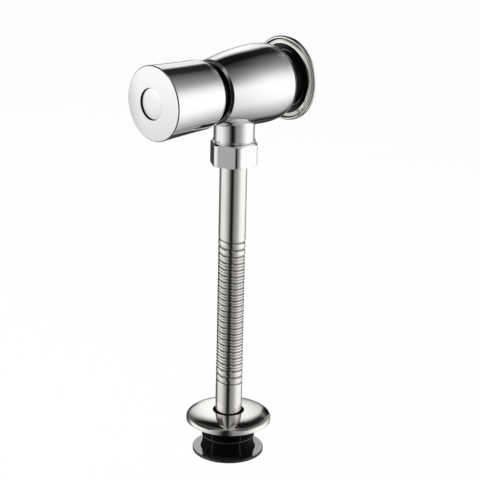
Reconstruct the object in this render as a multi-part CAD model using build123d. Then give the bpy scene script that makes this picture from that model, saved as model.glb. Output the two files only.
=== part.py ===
from build123d import *
import math
import os

# A urinal flush valve that closes by itself: a push button, a barrel body that screws into the
# wall, and a flush tube that can be bent by hand and ends in a rubber grommet.
# Millimetres. The origin lies on the inlet axis, in the plane of the wall. +Y points into the
# wall, the button faces -Y and the tube hangs down along -Z.
# Places on the valve's axis are given as a distance out from the wall, and places on the tube's
# axis as a drop below the valve's axis.

# Clearances
slide_gap = 0.1             # radial, a round piece that runs in its guide
thread_gap = 0.08           # radial, a male thread in its female thread
fixed_gap = 0.05            # radial, a piece that is pushed or screwed home on another
seat_gap = 0.1              # between flat faces that are drawn together
flange_gap = 0.25           # radial, the loose flange on the body's boss
bore_gap = 1.1              # radial, the clack in the inlet chamber, for the water to pass

# Barrel body
boss_radius = 15.7
boss_set_back = 0.5         # the boss ends this far short of the wall
boss_length = 7.4
barrel_step = 0.8           # the rear face leans this far from the boss to the barrel's edge
barrel_length = 46.7
barrel_rear_radius = 18.6
barrel_rear_pull = (24.55, 0.226)    # each pull is a radius and a share of the barrel's length
barrel_belly_pull = (19.32, 0.427)
barrel_front_pull = (23.07, 0.469)
barrel_front_radius = 17.4
lip_rise = 1.4
mouth_radius = 15.9
mouth_depth = 5.8
bonnet_thread_radius = 14.5
bonnet_thread_length = 4.5
outlet_chamber_radius = 13.0
seat_web = 4.0
inlet_thread_radius = 10.475
inlet_thread_depth = 10.5
inlet_bore_radius = 9.5

# Outlet stub and union
outlet_reach = 38.3         # wall to the tube's axis
stub_radius = 11.1
stub_fillet = 1.2
stub_collar_radius = 11.6
stub_collar_height = 0.9
stub_collar_drop = 28.2
stub_thread_radius = 10.475
stub_thread_length = 5.9
stub_bore_radius = 7.5
union_washer_thickness = 2.0
nut_across_flats = 24.0
nut_height = 12.5
nut_floor = 2.5
nut_turn = 24.0             # degrees from +X to the first corner
nut_face_inset = 0.4        # the chamfer's circle inside the flats
nut_chamfer_angle = 30.0
slip_ring_thickness = 0.9

# Flush tube
tube_radius = 7.5
tube_wall = 0.9
tube_end_drop = 207.0
tube_collar_radius = 9.8
tube_collar_thickness = 1.2
groove_count = 24
groove_first_drop = 84.9
groove_last_drop = 168.75
groove_depth = 0.5
groove_width = 2.2
groove_spread = 0.1         # how much wider than the mean the end pitches are
groove_end_share = 0.6      # depth of the first and the last groove, of the full depth
tube_nut_gap = 0.4

# Push button
button_travel = 3.5
button_entry = 0.3          # how far the pressed button's tail runs into the body's mouth
button_tail_length = 6.4
button_tail_radius = 14.6
button_rear_radius = 18.5
button_waist_radius = 19.0
button_front_radius = 19.8
button_side_length = 29.9
button_edge_round = 0.5
button_crown = 1.6
button_wall = 1.5
button_front_wall = 2.2
button_guide_length = 5.5
button_boss_radius = 5.0
button_boss_length = 4.1
inlay_radius = 8.3
inlay_recess_depth = 1.9
inlay_thickness = 1.1
inlay_crown = 0.5
screw_radius = 2.0
screw_head_radius = 3.5
screw_head_height = 2.3
screw_length = 10.2
screw_socket = 3.0

# Bonnet and gland
sleeve_radius = 14.0
sleeve_length = 23.7
bonnet_collar_height = 1.9
bonnet_collar_gap = 0.2
o_ring_section = 1.3
cylinder_radius = 11.0
cylinder_length = 19.5
bonnet_wall = 4.0
packing_radius = 6.4
packing_height = 3.0
gland_slot = 1.6

# Rod, piston and clack
rod_radius = 3.5
rod_tail_radius = 2.5
rod_tail_length = 8.0
rod_collar_radius = 5.5
rod_collar_length = 1.5
piston_front_gap = 8.5      # the piston's face to the end of its cylinder
piston_gap = 0.4
piston_thickness = 3.0
cup_base = 1.2
cup_depth = 3.4
cup_lip = 1.3
cup_taper = 0.4             # the cup's base is this much smaller in radius than its lip
piston_nut_across_flats = 10.0
piston_nut_height = 3.0
clack_thickness = 2.5
clack_rim = 0.9
clack_rim_height = 1.4
clack_washer_thickness = 2.0
clack_nut_across_flats = 8.0
clack_nut_height = 2.5
seat_bore_radius = 6.0
seat_wall = 1.5
seat_flange_radius = 9.0
seat_flange_thickness = 1.0
seat_nose_height = 0.5
seat_nose_width = 1.2

# Springs
button_spring_radius = 8.5
button_spring_wire = 0.6
button_spring_turns = 5
closing_spring_radius = 7.1
closing_spring_wire = 0.5
closing_spring_turns = 5

# Inlet nipple and strainer
nipple_reach = 14.0         # behind the wall
nipple_bore_radius = 6.4
nipple_mouth_radius = 8.0
nipple_mouth_depth = 11.0
nipple_chamfer = 0.8
nipple_relief_radius = 9.4  # plain waist between the two threads
nipple_relief_length = 1.0
nipple_washer_thickness = 1.5
strainer_wall = 0.5
strainer_rim = 1.0
strainer_length = 8.0
strainer_slots = 8
strainer_slot_margin = 2.0  # the slots are this much shorter than the basket
strainer_slot_width = 1.4

# Wall flange
flange_radius = 23.4
flange_height = 2.0
flange_lip_radius = 22.0
flange_dish_radius = 18.5
flange_thickness = 0.8
flange_rim_fullness = 0.68  # share of the rim's width and height at which its bend is fullest

# Dome over the spud hole
dome_radius = 24.04
dome_hole_radius = 8.9
dome_height = 5.4
dome_rim_height = 1.2
dome_crown_pull = 18.6      # radius up to which the crown's tangent stays flat
dome_shoulder_pull = 1.4    # drop of the shoulder's pull below the dome's top
dome_thickness = 0.8
dome_rim_rise = 18.85       # the rim lies this far above the grommet's foot

# Rubber grommet
grommet_top_radius = 14.4
grommet_bead_radius = 15.0
grommet_bead_rise = 9.6     # above the grommet's foot
grommet_waist_radius = 14.2
grommet_foot_radius = 15.1
grommet_flange_radius = 20.2
grommet_flange_thickness = 1.7
grommet_overhang = 4.8      # the grommet's foot lies this far below the tube's end
grommet_edge = 0.8
grommet_cover = 0.6         # from the dome's inner face down to the grommet's top
grommet_mouth_radius = 11.0
grommet_mouth_depth = 5.6

# Places along the valve's axis, out from the wall
boss_front = boss_set_back + boss_length
barrel_rear = boss_front + barrel_step
barrel_front = barrel_rear + barrel_length
lip_out = barrel_front + lip_rise
mouth_floor = lip_out - mouth_depth
bonnet_thread_end = mouth_floor - bonnet_thread_length
inlet_thread_end = boss_set_back + inlet_thread_depth
seat_front = outlet_reach - stub_bore_radius + fixed_gap
seat_rear = seat_front - seat_web
nose_out = seat_rear - seat_flange_thickness - seat_nose_height
button_rear = lip_out + button_travel - button_entry
button_side_start = button_rear + button_tail_length
button_face = button_side_start + button_side_length
button_inner = button_face - button_front_wall
boss_end = button_inner - button_boss_length
crown_edge = button_front_radius - button_edge_round
crown_sphere = (crown_edge ** 2 + button_crown ** 2) / (2 * button_crown)
recess_rim = (button_face + button_crown - crown_sphere
              + math.sqrt(crown_sphere ** 2 - inlay_radius ** 2))
recess_floor = recess_rim - inlay_recess_depth
collar_start = mouth_floor + o_ring_section + seat_gap
collar_end = collar_start + bonnet_collar_height
sleeve_end = collar_end + sleeve_length
cylinder_end = bonnet_thread_end + cylinder_length
packing_start = cylinder_end + bonnet_wall
piston_face = cylinder_end - piston_front_gap
piston_back = piston_face - piston_thickness
screw_seat = recess_floor + fixed_gap - screw_head_height - slide_gap
washer_back = nose_out - clack_washer_thickness
clack_back = washer_back - clack_thickness
nipple_front = inlet_thread_end - nipple_washer_thickness
clack_radius = inlet_bore_radius - bore_gap + clack_rim / 2

# Places along the tube's axis, below the valve's axis
stub_thread_start = stub_collar_drop + stub_collar_height
stub_end = stub_thread_start + stub_thread_length
tube_top = stub_end + union_washer_thickness
ring_top = tube_top + tube_collar_thickness + seat_gap
nut_floor_drop = ring_top + slip_ring_thickness + seat_gap
nut_bottom = nut_floor_drop + nut_floor
nut_top = nut_bottom - nut_height
grommet_end_drop = tube_end_drop + grommet_overhang
grommet_bead_drop = grommet_end_drop - grommet_bead_rise
dome_rim_drop = grommet_end_drop - dome_rim_rise
dome_top_drop = dome_rim_drop - dome_height
grommet_top_drop = dome_top_drop + dome_thickness + grommet_cover

# Each line of revolution has a plane with the radius along x and the distance or drop along y
valve_line = (Plane((0, 0, 0), x_dir=(1, 0, 0), z_dir=(0, 0, -1)), Axis.Y)
tube_line = (
    Plane((0, -outlet_reach, 0), x_dir=(1, 0, 0), z_dir=(0, 1, 0)),
    Axis((0, -outlet_reach, 0), (0, 0, 1)),
)


def turned(line, outline):
    """Solid turned from an outline of radius and distance about one of the two axes."""
    plane, axis = line
    return revolve(plane * make_face(outline), axis)


def profile(line, *points):
    """Solid turned from a closed outline with straight sides."""
    return turned(line, Polyline(*points, close=True))


def ring(line, outer, inner, start, end):
    """Plain ring, or a disc where the inner radius is nought."""
    return profile(line, (inner, start), (outer, start), (outer, end), (inner, end))


def crown(radius, start, rise):
    """Arc of a shallow sphere over a disc, from its edge to its middle on the axis."""
    sphere = (radius ** 2 + rise ** 2) / (2 * rise)
    half_rise = math.sqrt(sphere ** 2 - (radius / 2) ** 2) - sphere + rise
    return ThreePointArc((radius, start), (radius / 2, start + half_rise), (0, start + rise))


def valve_hexagon(across_flats, start, end):
    """Hexagonal bar on the valve's axis."""
    flats = RegularPolygon(across_flats / 2, 6, major_radius=False)
    return Plane((0, -start, 0), z_dir=(0, -1, 0)) * extrude(flats, end - start)


def coil(radius, wire, start, end, turns):
    """Round wire wound about the valve's axis, with its first and last turn on the two seats."""
    height = end - start - 2 * wire
    path = Helix(pitch=height / turns, height=height, radius=radius)
    section = Plane(path @ 0, z_dir=path % 0) * Circle(wire)
    return Plane((0, -start - wire, 0), z_dir=(0, -1, 0)) * sweep(section, path=path)


# Fixed pieces on the valve's axis

def valve_body():
    """Brass barrel with a rear boss for the wall and a stub that hangs down to the union."""
    pulls = [(radius, barrel_rear + share * barrel_length)
             for radius, share in (barrel_rear_pull, barrel_belly_pull, barrel_front_pull)]
    swell = Bezier(
        (barrel_rear_radius, barrel_rear),
        *pulls,
        (barrel_front_radius, barrel_front),
    )
    shell = turned(valve_line, swell + Polyline(
        (barrel_front_radius, barrel_front),
        (mouth_radius, lip_out),
        (0, lip_out),
        (0, boss_set_back),
        (boss_radius, boss_set_back),
        (boss_radius, boss_front),
        (barrel_rear_radius, barrel_rear),
    ))
    stub = ring(tube_line, stub_radius, 0, 0, stub_collar_drop)
    joined = shell + stub
    root = joined.edges().filter_by(GeomType.BSPLINE).group_by(Axis.Z)[0]
    body = fillet(root, stub_fillet)
    body += ring(tube_line, stub_collar_radius, 0, stub_collar_drop, stub_thread_start)
    body += ring(tube_line, stub_thread_radius, 0, stub_thread_start, stub_end)
    body -= ring(tube_line, stub_bore_radius, 0, 0, stub_end)
    body -= ring(valve_line, mouth_radius, 0, mouth_floor, lip_out)
    body -= ring(valve_line, bonnet_thread_radius + thread_gap, 0, bonnet_thread_end, mouth_floor)
    body -= ring(valve_line, outlet_chamber_radius, 0, seat_front, bonnet_thread_end)
    body -= ring(valve_line, seat_bore_radius + seat_wall + fixed_gap, 0, seat_rear, seat_front)
    body -= ring(valve_line, inlet_bore_radius, 0, inlet_thread_end, seat_rear)
    body -= ring(valve_line, inlet_thread_radius + thread_gap, 0, boss_set_back, inlet_thread_end)
    return body


def inlet_nipple():
    """Threaded nipple that joins the body to the pipe in the wall, with a mouth for the strainer."""
    edge = inlet_thread_radius - nipple_chamfer
    mouth_start = nipple_mouth_depth - nipple_reach
    outside = profile(
        valve_line,
        (0, nipple_front),
        (edge, nipple_front),
        (inlet_thread_radius, nipple_front - nipple_chamfer),
        (inlet_thread_radius, boss_set_back + nipple_relief_length),
        (nipple_relief_radius, boss_set_back + nipple_relief_length),
        (nipple_relief_radius, boss_set_back),
        (inlet_thread_radius, boss_set_back),
        (inlet_thread_radius, nipple_chamfer - nipple_reach),
        (edge, -nipple_reach),
        (0, -nipple_reach),
    )
    outside -= ring(valve_line, nipple_bore_radius, 0, mouth_start, nipple_front)
    return outside - ring(valve_line, nipple_mouth_radius, 0, -nipple_reach, mouth_start)


def nipple_washer():
    """Fibre washer between the nipple's end and the step in the body."""
    return ring(valve_line, inlet_thread_radius, inlet_bore_radius - nipple_chamfer,
                nipple_front, inlet_thread_end)


def inlet_strainer():
    """Slotted basket that keeps grit out of the valve, hooked on the step in the nipple."""
    rim_start = nipple_mouth_depth - nipple_reach
    basket_radius = nipple_bore_radius - slide_gap
    basket_end = rim_start + strainer_length
    basket = ring(valve_line, nipple_mouth_radius - slide_gap, 0, rim_start - strainer_rim, rim_start)
    basket += ring(valve_line, basket_radius, 0, rim_start, basket_end)
    basket -= ring(valve_line, basket_radius - strainer_wall, 0,
                   rim_start - strainer_rim, basket_end - strainer_wall)
    slot_length = strainer_length - strainer_slot_margin
    slot = Box(2 * strainer_wall + slide_gap, slot_length, strainer_slot_width)
    middle = rim_start + strainer_length / 2 - strainer_wall
    for step in range(strainer_slots):
        around = Rot(0, step * 360 / strainer_slots, 0)
        basket -= around * Pos(basket_radius - strainer_wall / 2, -middle, 0) * slot
    return basket


def valve_seat():
    """Seat that the clack closes on, pressed into the web from the inlet side."""
    seat = ring(valve_line, seat_bore_radius + seat_wall, seat_bore_radius, seat_rear, seat_front)
    seat += ring(valve_line, seat_flange_radius, seat_bore_radius,
                 seat_rear - seat_flange_thickness, seat_rear)
    return seat + ring(valve_line, seat_bore_radius + seat_nose_width, seat_bore_radius,
                       nose_out, seat_rear - seat_flange_thickness)


def bonnet():
    """Screwed insert that closes the body, guides the button and holds the piston's cylinder."""
    insert = ring(valve_line, bonnet_thread_radius, 0, bonnet_thread_end, collar_start)
    insert += ring(valve_line, mouth_radius - bonnet_collar_gap, 0, collar_start, collar_end)
    insert += ring(valve_line, sleeve_radius, 0, collar_end, sleeve_end)
    insert -= ring(valve_line, cylinder_radius, 0, bonnet_thread_end, cylinder_end)
    insert -= ring(valve_line, rod_radius + slide_gap, 0, cylinder_end, packing_start)
    return insert - ring(valve_line, packing_radius + fixed_gap, 0, packing_start, sleeve_end)


def bonnet_o_ring():
    """O-ring squeezed between the bonnet's collar and the floor of the body's mouth."""
    centre = (bonnet_thread_radius + mouth_radius) / 2
    section = Pos(centre, mouth_floor + (o_ring_section + seat_gap) / 2) * Circle(o_ring_section / 2)
    plane, axis = valve_line
    return revolve(plane * section, axis)


def gland_packing():
    """Rubber packing that seals the rod where it leaves the bonnet."""
    return ring(valve_line, packing_radius, rod_radius + slide_gap,
                packing_start, packing_start + packing_height)


def gland_nut():
    """Slotted nut that squeezes the packing."""
    start = packing_start + packing_height
    nut = ring(valve_line, packing_radius, rod_radius + slide_gap, start, sleeve_end)
    slot = Box(2 * sleeve_radius, 2 * gland_slot, gland_slot)
    return nut - Pos(0, -sleeve_end, 0) * slot


# Pieces that move with the button

def button_cap():
    """Turned cap with a crowned face, a side that flares to the front and a guide in its tail."""
    apex = button_face + button_crown
    side_middle = (button_waist_radius, button_side_start + button_side_length / 2)
    corner = Line((crown_edge, button_face), (button_front_radius, button_face - button_edge_round))
    side = ThreePointArc((button_front_radius, button_face - button_edge_round), side_middle,
                         (button_rear_radius, button_side_start))
    tail = TangentArc((button_rear_radius, button_side_start), (button_tail_radius, button_rear),
                      tangent=(0, -1))
    back = Polyline((button_tail_radius, button_rear), (0, button_rear), (0, apex))
    face = crown(crown_edge, button_face, button_crown)
    cap = turned(valve_line, face + corner + side + tail + back)
    guide_end = button_rear + button_guide_length
    cap -= ring(valve_line, sleeve_radius + slide_gap, 0, button_rear, guide_end)
    cap -= profile(
        valve_line,
        (0, guide_end),
        (sleeve_radius + slide_gap, guide_end),
        (button_rear_radius - button_wall, guide_end + button_wall),
        (button_waist_radius - button_wall, button_inner),
        (0, button_inner),
    )
    cap += ring(valve_line, button_boss_radius, 0, boss_end, button_inner)
    cap -= ring(valve_line, inlay_radius + slide_gap, 0, recess_floor, apex + button_crown)
    cap -= ring(valve_line, screw_head_radius + slide_gap, 0, screw_seat, recess_floor)
    return cap - ring(valve_line, screw_radius + fixed_gap, 0, boss_end, screw_seat)


def button_inlay():
    """Domed disc set in the middle of the face, over the screw."""
    back = recess_floor + fixed_gap
    edge = back + inlay_thickness
    sides = Polyline((0, edge + inlay_crown), (0, back), (inlay_radius, back), (inlay_radius, edge))
    return turned(valve_line, crown(inlay_radius, edge, inlay_crown) + sides)


def button_screw():
    """Socket screw that ties the button to the rod."""
    head_top = screw_seat + screw_head_height
    screw = ring(valve_line, screw_head_radius, 0, screw_seat, head_top)
    screw += ring(valve_line, screw_radius, 0, screw_seat - screw_length, screw_seat)
    return screw - valve_hexagon(screw_socket, head_top - screw_head_height / 2, head_top)


def push_rod():
    """Rod from the button through the bonnet and the seat to the clack."""
    screw_end = screw_seat - screw_length
    rod = ring(valve_line, rod_radius, 0, nose_out, boss_end)
    rod += ring(valve_line, rod_tail_radius, 0, nose_out - rod_tail_length, nose_out)
    rod += ring(valve_line, rod_collar_radius, 0, piston_back - rod_collar_length, piston_back)
    return rod - ring(valve_line, screw_radius + fixed_gap, 0, screw_end - seat_gap, boss_end)


def piston():
    """Disc that carries the cup seal and slows the return."""
    return ring(valve_line, cylinder_radius - piston_gap, rod_radius + fixed_gap,
                piston_back, piston_face)


def cup_seal():
    """Rubber cup whose lip seals one way in the cylinder."""
    lip = cylinder_radius - slide_gap
    base = lip - cup_taper
    return profile(
        valve_line,
        (rod_radius + fixed_gap, piston_face),
        (base, piston_face),
        (lip, piston_face + cup_depth),
        (lip - cup_lip, piston_face + cup_depth),
        (base - cup_lip, piston_face + cup_base),
        (rod_radius + fixed_gap, piston_face + cup_base),
    )


def piston_nut():
    """Nut that clamps the cup seal and the piston against the rod's collar."""
    start = piston_face + cup_base
    nut = valve_hexagon(piston_nut_across_flats, start, start + piston_nut_height)
    return nut - ring(valve_line, rod_radius + fixed_gap, 0, start, start + piston_nut_height)


def clack():
    """Brass disc with a rim that holds the sealing washer."""
    disc = ring(valve_line, clack_radius, rod_tail_radius + fixed_gap, clack_back, washer_back)
    return disc + ring(valve_line, clack_radius, clack_radius - clack_rim,
                       washer_back, washer_back + clack_rim_height)


def clack_washer():
    """Rubber washer that closes on the seat's nose."""
    return ring(valve_line, clack_radius - clack_rim - fixed_gap, rod_tail_radius + fixed_gap,
                washer_back, nose_out)


def clack_nut():
    """Nut on the rod's tail that holds the clack."""
    nut = valve_hexagon(clack_nut_across_flats, clack_back - clack_nut_height, clack_back)
    return nut - ring(valve_line, rod_tail_radius + fixed_gap, 0,
                      clack_back - clack_nut_height, clack_back)


def button_spring():
    """Spring from the bonnet to the button that brings the button out again."""
    return coil(button_spring_radius, button_spring_wire, sleeve_end, button_inner,
                button_spring_turns)


def closing_spring():
    """Spring from the nipple to the clack that starts the closing."""
    return coil(closing_spring_radius, closing_spring_wire, nipple_front, clack_back,
                closing_spring_turns)


# Loose flange on the wall

def wall_flange():
    """Pressed ring with a shallow dish round the boss and a rim rolled back to the wall."""
    hole = boss_radius + flange_gap
    rim_width = flange_radius - flange_lip_radius
    rim_middle = (flange_lip_radius + flange_rim_fullness * rim_width,
                  flange_rim_fullness * flange_height)
    front = Polyline((hole, 0), (hole, flange_thickness), (flange_dish_radius, flange_thickness))
    dish = Line((flange_dish_radius, flange_thickness), (flange_lip_radius, flange_height))
    rim = ThreePointArc((flange_lip_radius, flange_height), rim_middle, (flange_radius, 0))
    back = Polyline(
        (flange_radius, 0),
        (flange_radius - flange_thickness, 0),
        (flange_lip_radius, flange_height - flange_thickness),
        (flange_dish_radius + flange_thickness, 0),
        (hole, 0),
    )
    return turned(valve_line, front + dish + rim + back)


# Union and flush tube

def outlet_washer():
    """Rubber washer between the stub's end and the tube's collar."""
    return ring(tube_line, stub_thread_radius - fixed_gap, stub_bore_radius, stub_end, tube_top)


def union_nut():
    """Hexagon nut, chamfered at both ends, that draws the tube's collar up to the stub."""
    flats = RegularPolygon(nut_across_flats / 2, 6, major_radius=False, rotation=nut_turn)
    bar = Pos(0, -outlet_reach, -nut_bottom) * extrude(flats, nut_height)
    corner = nut_across_flats / math.sqrt(3) + fixed_gap
    face = nut_across_flats / 2 - nut_face_inset
    slope = (corner - face) * math.tan(math.radians(nut_chamfer_angle))
    nut = bar & profile(
        tube_line,
        (0, nut_top),
        (face, nut_top),
        (corner, nut_top + slope),
        (corner, nut_bottom - slope / 2),
        ((corner + face) / 2, nut_bottom),
        (0, nut_bottom),
    )
    nut -= ring(tube_line, stub_thread_radius + thread_gap, 0, nut_top, nut_floor_drop)
    return nut - ring(tube_line, tube_radius + tube_nut_gap, 0, nut_floor_drop, nut_bottom)


def slip_ring():
    """Thin ring that lets the nut turn under the tube's collar."""
    return ring(tube_line, stub_thread_radius - slide_gap, tube_radius + slide_gap,
                ring_top, ring_top + slip_ring_thickness)


def flush_tube():
    """Thin tube with a collar at its top and rolled grooves that let it be bent by hand."""
    outer = []
    inner = []
    for number in range(groove_count):
        share = number / (groove_count - 1)
        ease = share + groove_spread * math.sin(2 * math.pi * share) / (2 * math.pi)
        drop = groove_first_drop + ease * (groove_last_drop - groove_first_drop)
        depth = groove_depth * (groove_end_share if number in (0, groove_count - 1) else 1)
        half = groove_width / 2
        outer += [(tube_radius, drop - half), (tube_radius - depth, drop), (tube_radius, drop + half)]
        inner += [(tube_radius - tube_wall, drop - half), (tube_radius - tube_wall - depth, drop),
                  (tube_radius - tube_wall, drop + half)]
    collar_back = tube_top + tube_collar_thickness
    return profile(
        tube_line,
        (tube_radius - tube_wall, tube_top),
        (tube_collar_radius, tube_top),
        (tube_collar_radius, collar_back),
        (tube_radius, collar_back),
        *outer,
        (tube_radius, tube_end_drop),
        (tube_radius - tube_wall, tube_end_drop),
        *reversed(inner),
    )


# Pieces at the china

def dome_line(inset):
    """One face of the dome, from the hole to the rim, set in from the outside by a thickness."""
    return Bezier(
        (dome_hole_radius, dome_top_drop + inset),
        (dome_crown_pull, dome_top_drop + inset),
        (dome_radius - inset, dome_top_drop + dome_shoulder_pull + inset),
        (dome_radius - inset, dome_rim_drop - dome_rim_height),
    )


def spud_escutcheon():
    """Pressed dome that hides the hole in the china and slides up the tube."""
    hole = Line((dome_hole_radius, dome_top_drop + dome_thickness), (dome_hole_radius, dome_top_drop))
    rim = Polyline(
        (dome_radius, dome_rim_drop - dome_rim_height),
        (dome_radius, dome_rim_drop),
        (dome_radius - dome_thickness, dome_rim_drop),
        (dome_radius - dome_thickness, dome_rim_drop - dome_rim_height),
    )
    return turned(tube_line, dome_line(0) + rim + dome_line(dome_thickness) + hole)


def spud_grommet():
    """Rubber sleeve that grips the tube and seals it in the china, with a flange below."""
    bore = tube_radius + slide_gap
    flange_top = grommet_end_drop - grommet_flange_thickness
    mouth_start = grommet_end_drop - grommet_mouth_depth
    return profile(
        tube_line,
        (bore, grommet_top_drop),
        (grommet_top_radius - grommet_edge, grommet_top_drop),
        (grommet_top_radius, grommet_top_drop + grommet_edge),
        (grommet_bead_radius, grommet_bead_drop),
        (grommet_waist_radius, grommet_bead_drop + grommet_edge),
        (grommet_foot_radius, flange_top - grommet_edge),
        (grommet_flange_radius, flange_top),
        (grommet_flange_radius, grommet_end_drop),
        (grommet_mouth_radius, grommet_end_drop),
        (bore, mouth_start),
    )


sub_parts = (
    valve_body, inlet_nipple, nipple_washer, inlet_strainer, valve_seat,
    bonnet, bonnet_o_ring, gland_packing, gland_nut,
    button_cap, button_inlay, button_screw, push_rod, piston, cup_seal, piston_nut,
    clack, clack_washer, clack_nut, button_spring, closing_spring,
    wall_flange, outlet_washer, union_nut, slip_ring, flush_tube,
    spud_escutcheon, spud_grommet,
)

os.makedirs("parts", exist_ok=True)
for sub_part in sub_parts:
    export_step(sub_part(), f"parts/{sub_part.__name__}.step")
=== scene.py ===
# %% [markdown]
# A flush valve for a urinal: a chromed barrel that screws into the wall, a push button that comes
# out again by itself, and a thin tube that hangs down to a rubber grommet in the china. The
# construction comes packed from CAD. This file gives it its finished surfaces, its materials and
# the light of a small photo studio. The first step loads the construction as a fixed frame.

# %% Load the frame
import math

import bmesh
import bpy
import numpy as np
from mathutils import Matrix, Vector


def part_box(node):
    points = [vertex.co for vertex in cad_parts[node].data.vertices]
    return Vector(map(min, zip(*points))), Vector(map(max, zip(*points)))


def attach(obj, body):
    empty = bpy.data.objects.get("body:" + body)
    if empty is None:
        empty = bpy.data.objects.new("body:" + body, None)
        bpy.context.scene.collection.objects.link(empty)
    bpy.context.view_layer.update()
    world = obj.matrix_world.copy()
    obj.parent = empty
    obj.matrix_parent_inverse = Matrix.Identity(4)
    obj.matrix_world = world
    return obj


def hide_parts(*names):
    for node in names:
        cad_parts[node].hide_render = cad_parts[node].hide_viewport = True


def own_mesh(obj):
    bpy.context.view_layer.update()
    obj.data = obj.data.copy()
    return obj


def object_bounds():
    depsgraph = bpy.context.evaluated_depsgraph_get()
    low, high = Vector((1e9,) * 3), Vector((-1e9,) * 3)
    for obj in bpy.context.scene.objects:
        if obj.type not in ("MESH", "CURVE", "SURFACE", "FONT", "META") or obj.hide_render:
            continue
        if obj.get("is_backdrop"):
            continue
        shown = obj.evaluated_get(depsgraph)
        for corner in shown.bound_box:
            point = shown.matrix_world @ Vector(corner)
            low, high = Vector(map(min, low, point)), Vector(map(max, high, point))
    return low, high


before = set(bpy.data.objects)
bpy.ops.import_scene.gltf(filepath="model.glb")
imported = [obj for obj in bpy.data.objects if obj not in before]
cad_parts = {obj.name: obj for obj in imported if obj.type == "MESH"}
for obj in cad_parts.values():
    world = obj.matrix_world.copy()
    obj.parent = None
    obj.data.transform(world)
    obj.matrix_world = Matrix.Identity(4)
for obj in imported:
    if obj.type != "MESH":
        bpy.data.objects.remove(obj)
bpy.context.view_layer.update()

mm = 0.001

# %% [markdown]
# Almost every piece of a valve is turned on a lathe, so two axes are enough to place them all. The
# valve's axis runs straight out of the wall, and a place on it is a distance out. The tube's axis
# hangs in front of the wall, and a place on it is a drop below the valve's axis. The frame's boxes
# give the main sizes, so that the surfaces below follow the construction.

# %% Read the main sizes from the frame
def span_out(node):
    """Nearest and farthest distance out from the wall of a node, in millimetres."""
    low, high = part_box(node)
    return -high.y / mm, -low.y / mm


def span_drop(node):
    """Highest and lowest drop below the valve's axis of a node, in millimetres."""
    low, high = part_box(node)
    return -high.z / mm, -low.z / mm


def half_width(node):
    """Half of a node's width across X, in millimetres, which is its radius if it is turned."""
    low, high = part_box(node)
    return (high.x - low.x) / 2 / mm


tube_low, tube_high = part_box("flush_tube")
tube_reach = -(tube_low.y + tube_high.y) / 2 / mm
body_back, body_front = span_out("valve_body")
stub_end = span_drop("valve_body")[1]
print("wall to tube, mm:", round(tube_reach, 2), " wall to mouth, mm:", round(body_front, 2))

# %% [markdown]
# The camera stands to the right of the button and a little above it, far enough away for a long
# lens, so the valve shows little perspective. It is placed as on a crane: put at the point that it
# looks at, turned by an azimuth, tipped by an elevation, rolled a little and drawn back.

# %% Set up the camera
# All but the sensor's width come from a least-squares fit of the valve's outlines in another
# program.
aim = Vector((0.0, -32.08, -87.05)) * mm
camera_distance = 874.1 * mm
camera_azimuth = math.radians(45.46)
camera_elevation = math.radians(18.57)
camera_roll = math.radians(1.275)
lens_length = 118.55
sensor_size = 36.0


def add_object(name, data):
    """New object in the scene, at the origin."""
    thing = bpy.data.objects.new(name, data)
    bpy.context.scene.collection.objects.link(thing)
    return thing


camera_data = bpy.data.cameras.new("camera")
camera_data.lens = lens_length
camera_data.sensor_width = sensor_size
camera_data.clip_start = 0.05
camera = add_object("camera", camera_data)
steps = ((camera_azimuth, "Z"), (math.pi / 2 - camera_elevation, "X"), (camera_roll, "Z"))
camera.matrix_world = Matrix.Translation(aim)
for angle, axis in steps:
    camera.matrix_world @= Matrix.Rotation(angle, 4, axis)
camera.matrix_world @= Matrix.Translation((0.0, 0.0, camera_distance))
bpy.context.scene.camera = camera
print("camera at, mm:", [round(v / mm) for v in camera.matrix_world.translation])

# %% [markdown]
# Polished chrome has no colour of its own. What it shows is the room, so the studio is the most
# important finish of all. It is a white tent with a dark gap where the camera looks in, a few dark
# cards beside it and a dark ceiling. A room of real cards would hide the valve from other sides, so
# the cards are painted on the world, by the direction in which a ray leaves. Each card is one node
# group with a middle, a width, a lower and an upper edge and a softness.

# %% Small helpers for node trees
def empty_tree(owner):
    """Node tree of a material or a world, with nothing in it."""
    owner.use_nodes = True
    owner.node_tree.nodes.clear()
    return owner.node_tree


def fill(tree, node, inputs):
    """Sets a node's inputs, given by name or number, and links those that come from a socket."""
    for name, value in inputs.items():
        socket = node.inputs[name]
        if isinstance(value, bpy.types.NodeSocket):
            tree.links.new(value, socket)
        else:
            socket.default_value = value


def add_node(tree, kind, **inputs):
    """New node of a kind, or one that places a group, with its inputs filled. An underscore stands
    for a space in the name of an input."""
    node = tree.nodes.new(kind if isinstance(kind, str) else "ShaderNodeGroup")
    if not isinstance(kind, str):
        node.node_tree = kind
    fill(tree, node, {name.replace("_", " "): value for name, value in inputs.items()})
    return node


def calculate(tree, operation, *values):
    """Result socket of a Math node."""
    node = tree.nodes.new("ShaderNodeMath")
    node.operation = operation
    fill(tree, node, dict(enumerate(values)))
    return node.outputs[0]


def ease(tree, value, start, end):
    """0 at start, 1 at end and a smooth step between them."""
    node = add_node(tree, "ShaderNodeMapRange", Value=value, From_Min=start, From_Max=end)
    node.interpolation_type = "SMOOTHSTEP"
    return node.outputs["Result"]


# %% Helpers for blends, noises and groups
def blend_colours(tree, share, first, second):
    """Colour that goes from the first to the second as the share goes from 0 to 1."""
    node = tree.nodes.new("ShaderNodeMix")
    node.data_type = "RGBA"
    fill(tree, node, {0: share, 6: first, 7: second})
    return node.outputs[2]


def blend_shaders(tree, share, first, second):
    """Shader that goes from the first to the second as the share goes from 0 to 1."""
    node = tree.nodes.new("ShaderNodeMixShader")
    fill(tree, node, {0: share, 1: first.outputs[0], 2: second.outputs[0]})
    return node


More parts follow.
